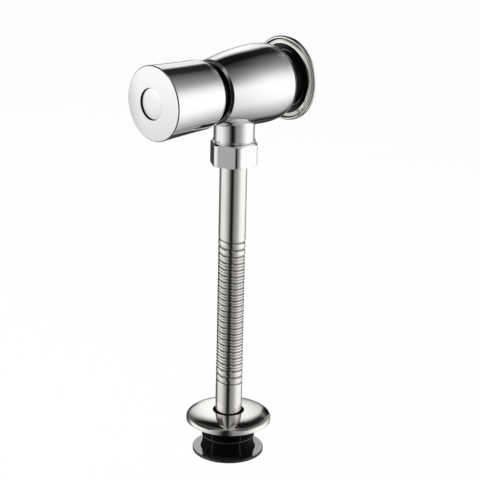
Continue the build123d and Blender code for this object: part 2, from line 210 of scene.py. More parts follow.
def noise(tree, place, scale, detail, roughness=0.5):
    """Value of a cloudy noise at a place."""
    return add_node(tree, "ShaderNodeTexNoise", Vector=place, Scale=scale, Detail=detail,
                    Roughness=roughness).outputs[0]


def opaque(colour):
    """Solid colour from three numbers, or from one for a neutral grey."""
    return (*np.broadcast_to(colour, 3).tolist(), 1.0)


colours = ("Light", "Tone", "Fresh", "Aged", "Colour")
socket_kinds = {"Vector": "NodeSocketVector", **dict.fromkeys(colours, "NodeSocketColor")}


def new_group(name, inputs, outputs):
    """Node group with named inputs and outputs, its inner input sockets and its output node."""
    group = bpy.data.node_groups.new(name, "ShaderNodeTree")
    for in_out, labels in (("INPUT", inputs), ("OUTPUT", outputs)):
        for label in labels:
            kind = socket_kinds.get(label, "NodeSocketFloat")
            group.interface.new_socket(label, in_out=in_out, socket_type=kind)
    return group, group.nodes.new("NodeGroupInput").outputs, group.nodes.new("NodeGroupOutput")


# %% Studio card group
card_group, card_in, card_out = new_group(
    "studio card",
    ("Light", "Azimuth", "Elevation", "Middle", "Half width", "Low", "High", "Side softness",
     "Edge softness", "Tone"),
    ("Light",))


def soft_edge(value, edge, softness, side):
    """Smooth step across an edge, as wide as the softness. It rises for side 1, falls for -1."""
    start, end = (calculate(card_group, "MULTIPLY_ADD", softness, half, edge)
                  for half in (-side / 2, side / 2))
    return ease(card_group, value, start, end)


offset = calculate(card_group, "SUBTRACT", card_in["Azimuth"], card_in["Middle"])
away = calculate(card_group, "ABSOLUTE", calculate(card_group, "WRAP", offset, 180.0, -180.0))
inside = soft_edge(away, card_in["Half width"], card_in["Side softness"], -1)
above = soft_edge(card_in["Elevation"], card_in["Low"], card_in["Edge softness"], 1)
below = soft_edge(card_in["Elevation"], card_in["High"], card_in["Edge softness"], -1)
share = calculate(card_group, "MULTIPLY", inside, calculate(card_group, "MULTIPLY", above, below))
fill(card_group, card_out,
     {"Light": blend_colours(card_group, share, card_in["Light"], card_in["Tone"])})

# %% Paint the studio on the world
# Each card: name, middle azimuth, half width, low edge, high edge, side softness, edge softness
# and tone, all in degrees but the tone. Azimuth 0 lies in front of the button and 90 to its right.
# The camera stands at azimuth 45. A later card covers an earlier one. The first sixteen come from
# a least-squares fit in another program, with five of their values changed by hand and all of them
# rounded. The last four were placed one by one.
studio_cards = (
    ("dim sky", 33, 129, 39.5, 91, 68, 72, 0.058),
    ("low shade", 0, 180, -91, -24, 1, 78.5, 0.48),
    ("left shade", -95.5, 23, -91, 72.5, 33.5, 38, 0.116),
    ("camera shade", 46, 50.5, -91, 52.5, 55, 60.5, 0.266),
    ("camera gap", 38.5, 16.5, -91, 87, 25.5, 75, 0.0094),
    ("back shade", -191.5, 38, 39, 91, 56, 63, 0.038),
    ("back black", -157, 13, 28.5, 91, 11, 10, 0.02),
    ("back ceiling", -130.5, 58.5, 37, 91, 56.5, 17.5, 0.007),
    ("low back shade", -183.5, 28, -91, 38.5, 49.5, 37, 0.052),
    ("low back black", -170.5, 24.5, -51.5, -30.5, 12, 5, 0.0134),
    ("outline card", -145, 10.2, -41, 12.7, 5.3, 41, 0.1),
    ("back grey", 163.5, 22.5, -52.5, -45, 28.5, 54, 0.85),
    ("right white", 150, 32, -36, 18, 43, 41.5, 1.0),
    ("soft right", 102, 16.5, 29, 77, 51.5, 58.5, 0.013),
    ("left black", -113, 14, -34, 12.5, 9.5, 14, 0.045),
    ("back dark", -153.8, 8.25, -7.5, 30.5, 5, 32, 0.005),
    ("high left black", -50, 44, 28, 75, 16, 14, 0.05),
    ("low left black", -50, 72, -91, -57, 16, 8, 0.04),
    ("top outline", -134.5, 7, -19, 5, 6, 8, 0.22),
    ("barrel underside", -143, 7.5, -39, -20, 5, 6, 0.03),
)
tent_level = 1.06
plain_level = 0.8
white = opaque(1.0)
print("studio cards:", len(studio_cards))

# %% Lay the cards on the world
world = bpy.data.worlds.new("studio")
bpy.context.scene.world = world
sky = empty_tree(world)
direction = add_node(sky, "ShaderNodeTexCoord").outputs["Generated"]
parts = add_node(sky, "ShaderNodeSeparateXYZ", Vector=direction)
toward_front = calculate(sky, "MULTIPLY", parts.outputs["Y"], -1.0)
azimuth = calculate(sky, "DEGREES", calculate(sky, "ARCTAN2", parts.outputs["X"], toward_front))
elevation = calculate(sky, "DEGREES", calculate(sky, "ARCSINE", parts.outputs["Z"]))
light = add_node(sky, "ShaderNodeRGB").outputs[0]
light.default_value = white
for label, middle, half, low, high, side, edge, tone in studio_cards:
    card = add_node(sky, card_group, Light=light, Azimuth=azimuth, Elevation=elevation,
                    Middle=middle, Half_width=half, Low=low, High=high, Side_softness=side,
                    Edge_softness=edge, Tone=opaque(tone))
    card.label = label
    light = card.outputs["Light"]
path = sky.nodes.new("ShaderNodeLightPath")
tent = add_node(sky, "ShaderNodeBackground", Color=light, Strength=tent_level)
plain = add_node(sky, "ShaderNodeBackground", Color=white, Strength=plain_level)
backdrop = add_node(sky, "ShaderNodeBackground", Color=white, Strength=1.0)
soft = blend_shaders(sky, path.outputs["Is Diffuse Ray"], tent, plain)
seen = blend_shaders(sky, path.outputs["Is Camera Ray"], soft, backdrop)
add_node(sky, "ShaderNodeOutputWorld", Surface=seen.outputs[0])
print("nodes on the world:", len(sky.nodes))

# %% [markdown]
# The valve is held at the wall and its tube ends in the china, so no floor carries it. A pale floor
# lies a little below it and keeps a faint shadow. Chrome would show the floor as one white sheet,
# so reflected rays pass it and see the tent instead. One large soft lamp above gives the rubber and
# the shadow a direction.

# %% Floor and lamp
floor_gap = 60.0
floor_half = 3000.0
floor_white = 0.97
floor_glow = 0.85
floor_drop = span_drop("spud_grommet")[1] + floor_gap
corner = np.array([(-1, -1), (1, -1), (1, 1), (-1, 1)]) * floor_half
floor_points = np.column_stack([corner, np.full(4, -floor_drop)]) * mm
floor_mesh = bpy.data.meshes.new("floor")
floor_mesh.from_pydata(floor_points.tolist(), [], [(0, 1, 2, 3)])
floor = add_object("floor", floor_mesh)
floor.visible_glossy = False
floor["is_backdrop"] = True

floor_paint = bpy.data.materials.new("pale floor")
tree = empty_tree(floor_paint)
path = tree.nodes.new("ShaderNodeLightPath")
matt = add_node(tree, "ShaderNodeBsdfDiffuse", Color=opaque(floor_white))
glow = add_node(tree, "ShaderNodeEmission", Color=white, Strength=1.0)
held_back = calculate(tree, "MULTIPLY", path.outputs["Is Camera Ray"], floor_glow)
floor_mix = blend_shaders(tree, held_back, matt, glow)
add_node(tree, "ShaderNodeOutputMaterial", Surface=floor_mix.outputs[0])
floor_mesh.materials.append(floor_paint)

lamp_data = bpy.data.lights.new("soft box", "AREA")
lamp_data.shape = "RECTANGLE"
lamp_data.size = 0.9
lamp_data.size_y = 0.6
lamp_data.energy = 6.0
lamp_place = Vector((-0.35, -0.65, 0.85))
lamp_back = Vector((-0.35, -0.6, 0.95))
lamp = add_object("soft box", lamp_data)
lamp_turn = lamp_back.to_track_quat("Z", "Y").to_matrix().to_4x4()
lamp.matrix_world = Matrix.Translation(lamp_place) @ lamp_turn
lamp.visible_glossy = False
bpy.context.scene.view_settings.view_transform = "Standard"
print("floor drop, mm:", round(floor_drop, 1))

# %% [markdown]
# Four effects come back in several finishes, so each is a node group with its own values in every
# material. Polish haze is the faint cloudiness of a plated surface that hands have wiped. Lathe
# marks are fine rings round an axis, as a turning tool leaves them. Moulded skin is the fine grain
# of rubber and plastic from a mould. Age tint shifts a colour a little from place to place.

# %% Polish haze group
haze_group, haze_in, haze_out = new_group(
    "polish haze", ("Vector", "Roughness", "Cloud", "Scratches"), ("Roughness",))
cloud = ease(haze_group, noise(haze_group, haze_in["Vector"], 90.0, 4.0, 0.6), 0.35, 0.75)
wipe = ease(haze_group, noise(haze_group, haze_in["Vector"], 2600.0, 2.0), 0.62, 0.75)
clouded = calculate(haze_group, "MULTIPLY_ADD", cloud, haze_in["Cloud"], haze_in["Roughness"])
fill(haze_group, haze_out,
     {"Roughness": calculate(haze_group, "MULTIPLY_ADD", wipe, haze_in["Scratches"], clouded)})

# %% Lathe marks group
lathe_group, lathe_in, lathe_out = new_group(
    "lathe marks", ("Vector", "Rings per metre"), ("Height",))
along = add_node(lathe_group, "ShaderNodeSeparateXYZ", Vector=lathe_in["Vector"]).outputs
squares = [calculate(lathe_group, "MULTIPLY", along[way], along[way]) for way in ("X", "Y")]
sideways = calculate(lathe_group, "SQRT", calculate(lathe_group, "ADD", *squares))
ring_place = add_node(lathe_group, "ShaderNodeCombineXYZ", X=sideways, Y=along["Z"]).outputs[0]
fill(lathe_group, lathe_out,
     {"Height": noise(lathe_group, ring_place, lathe_in["Rings per metre"], 2.0)})

# %% Moulded skin group
skin_group, skin_in, skin_out = new_group(
    "moulded skin", ("Vector", "Grain", "Roughness", "Spread"), ("Roughness", "Height"))
patch = ease(skin_group, noise(skin_group, skin_in["Vector"], 160.0, 4.0), 0.35, 0.7)
patchy = calculate(skin_group, "MULTIPLY_ADD", patch, skin_in["Spread"], skin_in["Roughness"])
fill(skin_group, skin_out,
     {"Roughness": patchy,
      "Height": noise(skin_group, skin_in["Vector"], skin_in["Grain"], 3.0)})

# %% Age tint group
tint_group, tint_in, tint_out = new_group(
    "age tint", ("Vector", "Scale", "Fresh", "Aged"), ("Colour",))
stain = ease(tint_group, noise(tint_group, tint_in["Vector"], tint_in["Scale"], 5.0, 0.6),
             0.4, 0.7)
fill(tint_group, tint_out,
     {"Colour": blend_colours(tint_group, stain, tint_in["Fresh"], tint_in["Aged"])})
print("effect groups:", [g.name for g in bpy.data.node_groups])

# %% [markdown]
# A finish is a Principled shader fed by those groups. Plated and bare metals differ in colour,
# roughness and marks, so one function makes them all. The marks need the axis that a piece was
# turned about, which a Mapping node brings to the Z axis of the pattern.

# %% Metal finishes
stain_scale = 60.0
valve_line = {"Rotation": (math.pi / 2, 0.0, 0.0)}
tube_line = {"Location": (0.0, tube_reach * mm, 0.0)}


def start_finish(name, metallic, fresh, aged):
    """Material whose colour is tinted by age, with its node tree, its object coordinates and its
    Principled shader."""
    finish = bpy.data.materials.new(name)
    tree = empty_tree(finish)
    place = add_node(tree, "ShaderNodeTexCoord").outputs["Object"]
    tint = add_node(tree, tint_group, Vector=place, Scale=stain_scale, Fresh=opaque(fresh),
                    Aged=opaque(aged))
    shader = add_node(tree, "ShaderNodeBsdfPrincipled", Metallic=metallic,
                      Base_Color=tint.outputs["Colour"])
    add_node(tree, "ShaderNodeOutputMaterial", Surface=shader.outputs[0])
    return finish, tree, place, shader


def add_relief(tree, shader, height, depth):
    """Bump of a depth in metres on a shader."""
    relief = add_node(tree, "ShaderNodeBump", Height=height, Strength=1.0, Distance=depth)
    fill(tree, shader, {"Normal": relief.outputs[0]})


def metal(name, fresh, aged, roughness, cloud, line, rings, ring_depth):
    """Metal with a slightly uneven colour, polish haze and lathe marks round its axis."""
    finish, tree, place, shader = start_finish(name, 1.0, fresh, aged)
    haze = add_node(tree, haze_group, Vector=place, Roughness=roughness, Cloud=cloud,
                    Scratches=cloud / 2)
    fill(tree, shader, {"Roughness": haze.outputs["Roughness"]})
    mapping = add_node(tree, "ShaderNodeMapping", Vector=place)
    fill(tree, mapping, line)
    marks = add_node(tree, lathe_group, Vector=mapping.outputs[0], Rings_per_metre=rings)
    add_relief(tree, shader, marks.outputs["Height"], ring_depth)
    return finish


bright = (0.965, 0.967, 0.97)
bright_aged = (0.945, 0.945, 0.94)
warm = (0.93, 0.91, 0.875)
warm_aged = (0.9, 0.88, 0.85)
chrome_valve = metal("chrome plate", bright, bright_aged, 0.025, 0.02, valve_line, 3000, 2e-7)
chrome_union = metal("chrome on the union", bright, bright_aged, 0.03, 0.03, tube_line, 3000, 2e-7)
chrome_tube = metal("chrome on the tube", warm, warm_aged, 0.07, 0.05, tube_line, 2500, 4e-7)
satin_inlay = metal("polished inlay", bright, bright_aged, 0.06, 0.03, valve_line, 6000, 2e-7)
flange_steel = metal("polished flange", (0.95, 0.93, 0.88), (0.9, 0.88, 0.83), 0.08, 0.05,
                     valve_line, 4000, 3e-7)
rim_steel = metal("polished rim", warm, warm_aged, 0.06, 0.03, valve_line, 4000, 1e-7)
dome_steel = metal("polished dome", warm, bright_aged, 0.06, 0.04, tube_line, 4000, 6e-7)
# Painted shade: darker chrome at the bottom of the tube's groove and of its dent.
groove_shade_chrome = metal("chrome with painted groove shade", (0.3, 0.29, 0.275), (0.24, 0.23, 0.22), 0.12,
                      0.06, tube_line, 2500, 4e-7)
# Painted shade: dark metal for recesses and gaps on the barrel, button, bonnet and flange.
painted_shade_metal = metal("metal with painted shade", 0.08, 0.05, 0.4, 0.1, valve_line, 4000, 1e-6)
turned_brass = metal("turned brass", (0.87, 0.68, 0.32), (0.72, 0.5, 0.22), 0.22, 0.15,
                     valve_line, 5000, 3e-6)
drawn_steel = metal("drawn stainless", (0.72, 0.71, 0.69), (0.6, 0.59, 0.57), 0.24, 0.12,
                    valve_line, 6000, 2e-6)
print("materials with the metals:", len(bpy.data.materials))

# %% [markdown]
# Rubber, fibre and plastic come out of a mould or a press. The grommet's sleeve is deep black, and
# its bead, mould lines and edges are painted a little lighter, as painted highlights. Its flat
# flange was moulded against a polished plate, so its coat shows the white tent at a flat angle, and
# its base colour is painted lighter than the sleeve's, as painted sheen. The seals are duller, the
# washer is red fibre and the strainer is white plastic.

# %% Moulded finishes
def moulded(name, fresh, aged, roughness, spread, grain, depth, coat=0.0, coat_ior=1.9, shine=0.5):
    """Rubber, fibre or plastic with a moulded skin, and a coat that gives its gloss."""
    finish, tree, place, shader = start_finish(name, 0.0, fresh, aged)
    skin = add_node(tree, skin_group, Vector=place, Grain=grain, Roughness=roughness,
                    Spread=spread)
    fill(tree, shader, {"Coat Weight": coat, "Coat Roughness": 0.08, "Coat IOR": coat_ior,
                        "Specular IOR Level": shine, "Roughness": skin.outputs["Roughness"]})
    add_relief(tree, shader, skin.outputs["Height"], depth)
    return finish


black_rubber = moulded("black rubber", 0.0015, 0.0025, 0.3, 0.15, 2500, 2e-6, shine=0.03)
# Painted highlight: lighter rubber on the bead, the mould lines and the flange's edge.
highlight_rubber = moulded("black rubber with painted highlight", 0.008, 0.014, 0.3, 0.15, 2500, 2e-6, shine=0.6)
# Partly painted sheen: the flange's top has a strong coat that reflects, and a base colour painted
# lighter than the sleeve's.
shiny_rubber = moulded("black rubber flange", 0.02, 0.03, 0.2, 0.1, 2500, 1e-6, 1.0, coat_ior=3.3)
seal_rubber = moulded("seal rubber", 0.02, (0.035, 0.034, 0.033), 0.5, 0.15, 3500, 1e-5)
red_fibre = moulded("red fibre", (0.42, 0.09, 0.06), (0.33, 0.08, 0.06), 0.75, 0.1, 5000, 3e-5)
white_plastic = moulded("white plastic", (0.83, 0.83, 0.8), (0.76, 0.75, 0.7), 0.35, 0.12,
                        2500, 5e-6, 0.1)
print("materials with the rubbers:", len(bpy.data.materials))

# %% [markdown]
# A turned piece is an outline carried round an axis. The outline is a list of points, each a radius
# and a place on the axis, and a grid of points comes from turning it. Real edges are never sharp,
# and on chrome every broken edge shows as a bright or dark line, so a helper rounds each corner of
# an outline. It also puts a point a little way along each straight side, which keeps the flat faces
# flat where smooth shading would bend their reflections.

# %% Outlines
bend_steps = 4
least_turn = 20.0
side_parts = 4.2


def curve(controls, steps):
    """Bezier curve: each point is the control points weighted by Bernstein's polynomials."""
    controls = np.array(controls, float)
    degree = len(controls) - 1
    share = np.linspace(0, 1, steps + 1)[:, None]
    order = np.arange(degree + 1)[None, :]
    ways = np.array([math.comb(degree, k) for k in range(degree + 1)])
    return np.tensordot(ways * share ** order * (1 - share) ** (degree - order), controls, 1)


def bow(start, middle, end, steps):
    """Shallow arc through three points, as a curve whose control point pulls it to the middle."""
    start, middle, end = (np.array(p, float) for p in (start, middle, end))
    return curve([start, 2 * middle - (start + end) / 2, end], steps)


def stairs(*places_and_radii):
    """Corners of an outline that runs along and across the axis by turns: it starts at a place and
    a radius, goes along to the next place, across to the next radius and so on."""
    pairs = list(zip(places_and_radii, places_and_radii[1:]))
    pairs[::2] = [(radius, place) for place, radius in pairs[::2]]
    return pairs


def rounded(cut, *stretches, closed=True):
    """Outline of joined stretches whose corners are short curves. A corner's curve starts and ends
    one cut from it and leans towards it, and two more points stand two cuts away to steady the
    sides. A cut takes no more than its part of the shorter side."""
    outline = np.concatenate(stretches).astype(float)
    before = np.roll(outline, 1, axis=0) - outline
    after = np.roll(outline, -1, axis=0) - outline
    reach_before = np.linalg.norm(before, axis=1)
    reach_after = np.linalg.norm(after, axis=1)
    before = before / reach_before[:, None]
    after = after / reach_after[:, None]
    turned_by = 180 - np.degrees(np.arccos(np.clip((before * after).sum(1), -1, 1)))
    is_corner = turned_by > least_turn
    if not closed:
        is_corner[[0, -1]] = False
    size = np.minimum(cut, np.minimum(reach_before, reach_after) / side_parts)[:, None]
    before, after = before * size, after * size
    bends = curve([outline + before, outline, outline + after], bend_steps)
    softened = np.stack([outline + 2 * before, *bends, outline + 2 * after], axis=1)
    kept = [points if corner else point[None]
            for points, point, corner in zip(softened, outline, is_corner)]
    return np.concatenate(kept)


# %% From an outline to points round an axis, and back
def on_valve_line(radius, out, angle):
    """Point at a radius round the valve's axis. Angle 0 looks down and a quarter turn to +X."""
    return np.stack(np.broadcast_arrays(
        radius * np.sin(angle), -out, -radius * np.cos(angle)), axis=-1)


def on_tube_line(radius, drop, angle):
    """Point at a radius round the tube's axis. Angle 0 looks to the front, a quarter turn to +X."""
    return np.stack(np.broadcast_arrays(
        radius * np.sin(angle), -tube_reach - radius * np.cos(angle), -drop), axis=-1)


def off_valve_line(points):
    """Radius round the valve's axis and distance out of points."""
    return np.hypot(points[:, 0], points[:, 2]), -points[:, 1]


def off_tube_line(points):
    """Radius round the tube's axis, drop and angle of points."""
    front = -tube_reach - points[:, 1]
    return np.hypot(points[:, 0], front), -points[:, 2], np.arctan2(points[:, 0], front)


# %% From points to a piece
weld = 1e-7


def grid_faces(rows, columns, closed):
    """Quads of a grid of points, as (row, column, corner). The columns meet their own start, and
    so do the rows of a closed outline."""
    row = np.arange(rows if closed else rows - 1)[:, None]
    column = np.arange(columns)[None, :]
    next_row = (row + 1) % rows
    next_column = (column + 1) % columns
    return np.stack([row * columns + column, row * columns + next_column,
                     next_row * columns + next_column, next_row * columns + column], axis=-1)


def make_piece(name, points, faces, finish, body, slot, *nodes):
    """Welded, outward-facing, smooth mesh that rides on a body and stands for CAD nodes."""
    mesh = bpy.data.meshes.new(name)
    mesh.from_pydata((points.reshape(-1, 3) * mm).tolist(), [], faces.reshape(-1, 4).tolist())
    shell = bmesh.new()
    shell.from_mesh(mesh)
    bmesh.ops.remove_doubles(shell, verts=shell.verts, dist=weld)
    loose = [point for point in shell.verts if not point.link_faces]
    bmesh.ops.delete(shell, geom=loose, context="VERTS")
    bmesh.ops.recalc_face_normals(shell, faces=shell.faces)
    shell.to_mesh(mesh)
    shell.free()
    mesh.polygons.foreach_set("use_smooth", np.ones(len(mesh.polygons), bool))
    mesh.materials.append(finish)
    piece = add_object(name, mesh)
    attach(piece, body)
    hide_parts(*nodes)
    print(name, "faces:", len(mesh.polygons))
    return piece


def turned(name, line, outline, columns, finish, body, slot, *nodes, closed=True, reshape=None):
    """Piece turned from an outline. reshape may change the radius from radius, place and angle."""
    angle = np.linspace(0, 2 * math.pi, columns, endpoint=False)
    radius, place, angle = np.broadcast_arrays(outline[:, :1], outline[:, 1:], angle)
    if reshape:
        radius = reshape(radius, place, angle)
    faces = grid_faces(len(outline), columns, closed)
    return make_piece(name, line(radius, place, angle), faces, finish, body, slot, *nodes)


def repaint(piece, finishes, zone):
    """More finishes on the faces: zone() turns their middles, in millimetres, into numbers, where
    0 keeps the first finish."""
    for finish in finishes:
        piece.data.materials.append(finish)
    middles = np.empty(len(piece.data.polygons) * 3)
    piece.data.polygons.foreach_get("center", middles)
    chosen = zone(middles.reshape(-1, 3) / mm).astype(np.int32)
    piece.data.polygons.foreach_set("material_index", chosen)
    print(piece.name, "faces in each finish:", np.bincount(chosen).tolist())


# %% [markdown]
# The barrel swells from the wall to its belly and tapers to the mouth, which one Bezier curve
# gives. The stub that hangs from it meets the barrel in a cast fillet, and this is the one place
# where a turned surface isn't enough. The barrel's grid gets a square hole there. A second grid
# starts at the hole's edge, runs over the barrel to the fillet, follows a ball rolled between
# barrel and stub, goes down the stub and its thread and comes back up inside to the water chamber.
# Both grids share their edge points, so welding makes them one skin.

# %% Barrel outline
# The three inner points of the swell come from a least-squares fit in another program.
boss_radius = 15.7
boss_front = 7.9
barrel_rear = 8.7
rear_radius = 18.6
rear_edge = 0.35
swell_controls = [(rear_radius, barrel_rear), (24.55, 19.25), (19.32, 28.64), (23.07, 30.6),
                  (17.4, 55.4)]
mouth_radius = 15.9
mouth_land = 0.22
land_out = body_front - 0.2
mouth_floor = 51.0
screw_radius = 14.58
screw_floor = 46.5
chamber_radius = 13.0
chamber_rows = (46.2, 31.05)
seat_radius = 7.55
seat_front = 30.85
seat_back = 26.85
inlet_radius = 9.5
inlet_start = 11.0
socket_radius = 10.555
barrel_steps = 80
hole_columns = 22
hole_steps = 47
swell_dense = curve(swell_controls, 2000)


def barrel_radius(out):
    """Radius of the barrel at a distance out, read from the dense curve."""
    return np.interp(out, swell_dense[:, 1], swell_dense[:, 0])


def barrel_slope(out):
    """Change of that radius for each millimetre out."""
    return np.interp(out, swell_dense[:, 1], np.gradient(swell_dense[:, 0], swell_dense[:, 1]))


swell_out = np.linspace(barrel_rear + rear_edge, swell_controls[-1][1], barrel_steps + 1)
swell = np.column_stack([barrel_radius(swell_out), swell_out])
body_outline = rounded(
    0.22, stairs(body_back, boss_radius, boss_front),
    curve([(rear_radius - rear_edge, barrel_rear - 0.1), (rear_radius, barrel_rear),
           swell[0]], 6)[:-1],
    swell,
    [(mouth_radius + mouth_land, land_out)],
    stairs(land_out, mouth_radius, mouth_floor, screw_radius, screw_floor, chamber_radius),
    np.linspace((chamber_radius, chamber_rows[0]), (chamber_radius, chamber_rows[1]),
                hole_steps + 1),
    [(chamber_radius, seat_front)],
    stairs(seat_front, seat_radius, seat_back, inlet_radius, inlet_start, socket_radius,
           body_back))
print("barrel rows:", len(body_outline), " widest radius, mm:", round(swell[:, 0].max(), 2))

# %% Stub outline and thread
stub_radius = 11.1
stub_fillet = 1.2
stub_top = 27.0
ring_radius = 11.6
port_radius = 7.1
stub_bore = 7.5
stub_thread = 10.475
thread_start = 29.15
thread_pitch = 1.814
thread_depth = 0.9


def faded(place, first, last, length):
    """0 outside a stretch, 1 well inside it, and a straight rise over a length at both ends."""
    return np.clip((place - first) / length, 0, 1) * np.clip((last - place) / length, 0, 1)


def thread(radius, place, angle, start, end, major):
    """Radius cut by a right-hand thread: a rounded V that climbs one pitch in each turn, and fades
    out over half a pitch at both ends."""
    phase = (place / thread_pitch + angle / (2 * math.pi)) % 1.0
    groove = 0.5 - 0.5 * np.cos(2 * math.pi * phase)
    groove = groove * faded(place, start, end, thread_pitch / 2)
    on_thread = (radius > major - thread_depth / 4) & (place > start) & (place < end)
    return np.where(on_thread, radius - thread_depth * groove, radius)


stub_outline = rounded(
    0.2, [(stub_radius, stub_top), (stub_radius, 28.0), (ring_radius, 28.25), (ring_radius, 28.6),
          (stub_thread, 28.7), (stub_thread, 29.1)],
    np.linspace((stub_thread, 29.2), (stub_thread, stub_end - 0.3), 60),
    [(10.0, stub_end), (stub_bore, stub_end), (stub_bore, 20.0)], closed=False)
print("stub rows:", len(stub_outline))


# %% Helpers for the grid that joins barrel and stub
def hole_edge(first_row, last_row):
    """Rows and columns of the grid points round the square hole, starting at its first corner."""
    step = 1 if last_row > first_row else -1
    down = np.arange(first_row, last_row, step)
    across = np.arange(-hole_columns, hole_columns)
    row = np.concatenate([0 * across + first_row, down, 0 * across + last_row, down[::-1] + step])
    column = np.concatenate([across, 0 * down + hole_columns, across[::-1] + 1,
                             0 * down - hole_columns])
    return row, column


def rolled_fillet(angle):
    """Places of a ball that touches barrel and stub. Its centre lies one ball outside both, so the
    distance out of its touching point is found by stepping back along the barrel's normal."""
    side = (stub_radius + stub_fillet) * np.sin(angle)
    out = tube_reach + (stub_radius + stub_fillet) * np.cos(angle)
    touch = out.copy()
    for _ in range(fillet_passes):
        steep = barrel_slope(touch)
        touch = out + stub_fillet * steep / np.sqrt(1 + steep ** 2)
    steep = barrel_slope(touch)
    reach = barrel_radius(touch) + stub_fillet / np.sqrt(1 + steep ** 2)
    turn_angle = np.arcsin(side / reach)
    centre = np.stack([side, -out, -np.sqrt(reach ** 2 - side ** 2)], axis=-1)
    return centre, touch, turn_angle


fillet_passes = 12

# %% Start of the joining grid, at the edges of the two holes
over_steps, ball_steps, down_steps, inner_steps = 9, 7, 4, 3
hole_start = 24.3
outside_radius = 17.0
columns = 192
column_angle = 2 * math.pi / columns
radii, places = body_outline.T
outer_first = int(np.argmin(np.where(radii > outside_radius, np.abs(places - hole_start),
                                     np.inf)))
inner_first = int(np.argmin(np.hypot(radii - chamber_radius, places - chamber_rows[1])))
outer_row, outer_column = hole_edge(outer_first, outer_first + hole_steps)
inner_row, inner_column = hole_edge(inner_first, inner_first - hole_steps)
edge_radius, edge_out = radii[outer_row], places[outer_row]
edge_turn = outer_column * column_angle
branch_angle = np.arctan2(edge_radius * np.sin(edge_turn), edge_out - tube_reach)
centre, touch_out, touch_turn = rolled_fillet(branch_angle)
print("rows at the holes:", outer_first, inner_first)

# %% Points of the joining grid
over_out = np.linspace(edge_out, touch_out, over_steps + 1)
over_barrel = on_valve_line(barrel_radius(over_out), over_out,
                            np.linspace(edge_turn, touch_turn, over_steps + 1))
over_barrel[0] = on_valve_line(edge_radius, edge_out, edge_turn)
stub_touch = on_tube_line(stub_radius, -centre[:, 2], branch_angle)
lean_start = (over_barrel[-1] - centre) / stub_fillet
lean_end = (stub_touch - centre) / stub_fillet
wedge = np.arccos((lean_start * lean_end).sum(-1))[None, :, None]
share = np.linspace(0, 1, ball_steps + 1)[1:, None, None]
ball = centre[None] + stub_fillet * (np.sin((1 - share) * wedge) * lean_start
                                     + np.sin(share * wedge) * lean_end) / np.sin(wedge)

stub_drop = np.linspace(-centre[:, 2], stub_top, down_steps + 1)[1:-1]
down_stub = on_tube_line(stub_radius, stub_drop, branch_angle)
stub_places = stub_outline[:, 1:]
stub_radii = thread(stub_outline[:, :1], stub_places, branch_angle, thread_start, stub_end,
                    stub_thread)
round_stub = on_tube_line(stub_radii, stub_places, branch_angle)

port_turn = np.arcsin(port_radius * np.sin(branch_angle) / chamber_radius)
port_out = tube_reach + port_radius * np.cos(branch_angle)
inner_turn = inner_column * column_angle
in_chamber = on_valve_line(chamber_radius,
                           np.linspace(port_out, places[inner_row], inner_steps + 1),
                           np.linspace(port_turn, inner_turn, inner_steps + 1))

branch = np.concatenate([over_barrel, ball, down_stub, round_stub, in_chamber])
print("branch grid:", branch.shape[:2])

# %% Weld the valve body
main_grid = on_valve_line(body_outline[:, :1], body_outline[:, 1:],
                          np.arange(columns) * column_angle)
main_faces = grid_faces(len(body_outline), columns, True)
in_hole = np.zeros(main_faces.shape[:2], bool)
hole_range = np.arange(-hole_columns, hole_columns) % columns
in_hole[outer_first:outer_first + hole_steps, hole_range] = True
in_hole[inner_first - hole_steps:inner_first, hole_range] = True
branch_faces = grid_faces(len(branch), branch.shape[1], False).reshape(-1, 4)
body_points = np.concatenate([main_grid.reshape(-1, 3), branch.reshape(-1, 3)])
body_faces = np.concatenate([main_faces[~in_hole], branch_faces + len(body_outline) * columns])
barrel = make_piece("barrel_body", body_points, body_faces, chrome_valve, "valve", "chrome_body",
                    "valve_body")


def barrel_zone(middle):
    """1 on the rear face, the boss and the mouth's bore, which get painted shade, 2 on the mouth's
    flat land, which is turned but not polished, and 0 elsewhere."""
    radius, out = off_valve_line(middle)
    rear = (out < barrel_rear - 0.02) & (radius < rear_radius)
    bore = (radius < mouth_radius + 0.02) & (out > screw_floor - 0.5) & (out < land_out - 0.08)
    land = (radius < mouth_radius + mouth_land + 0.03) & (out > land_out - 0.12) & ~bore
    return np.where(land, 2, (rear | bore).astype(int))


# Painted shade on the rear face, the boss and the mouth's bore.
repaint(barrel, (painted_shade_metal, drawn_steel), barrel_zone)

# %% [markdown]
# The button is one hollow turned cap. Its side flares a little towards the front, its face is
# crowned, and its tail draws in behind a fine seam. A shallow recess in the face holds a domed disc
# that hides the screw. The walls of the recess are painted dark, as painted shade, which shows as a
# dark line round the disc.

# %% Button cap
button_rear, button_apex = span_out("button_cap")
tail_start = button_rear + 0.36
tail_end = button_rear + 6.4
tail_radius = 15.5
side_start_radius = 18.5
side_middle_radius = 19.0
front_radius = half_width("button_cap")
edge_round = 0.5
crown = 1.6
crown_start = front_radius - edge_round
recess_radius = 8.4
face_out = button_apex - crown * (1 - (recess_radius / crown_start) ** 2)
recess_floor = button_apex - 1.9
screw_head, screw_shank, head_depth = 3.6, 2.05, 2.35
stem_radius, stem_length = 5.0, 4.1
cavity_radius, tail_bore = 17.5, 14.1
inner_face = face_out - 2.2

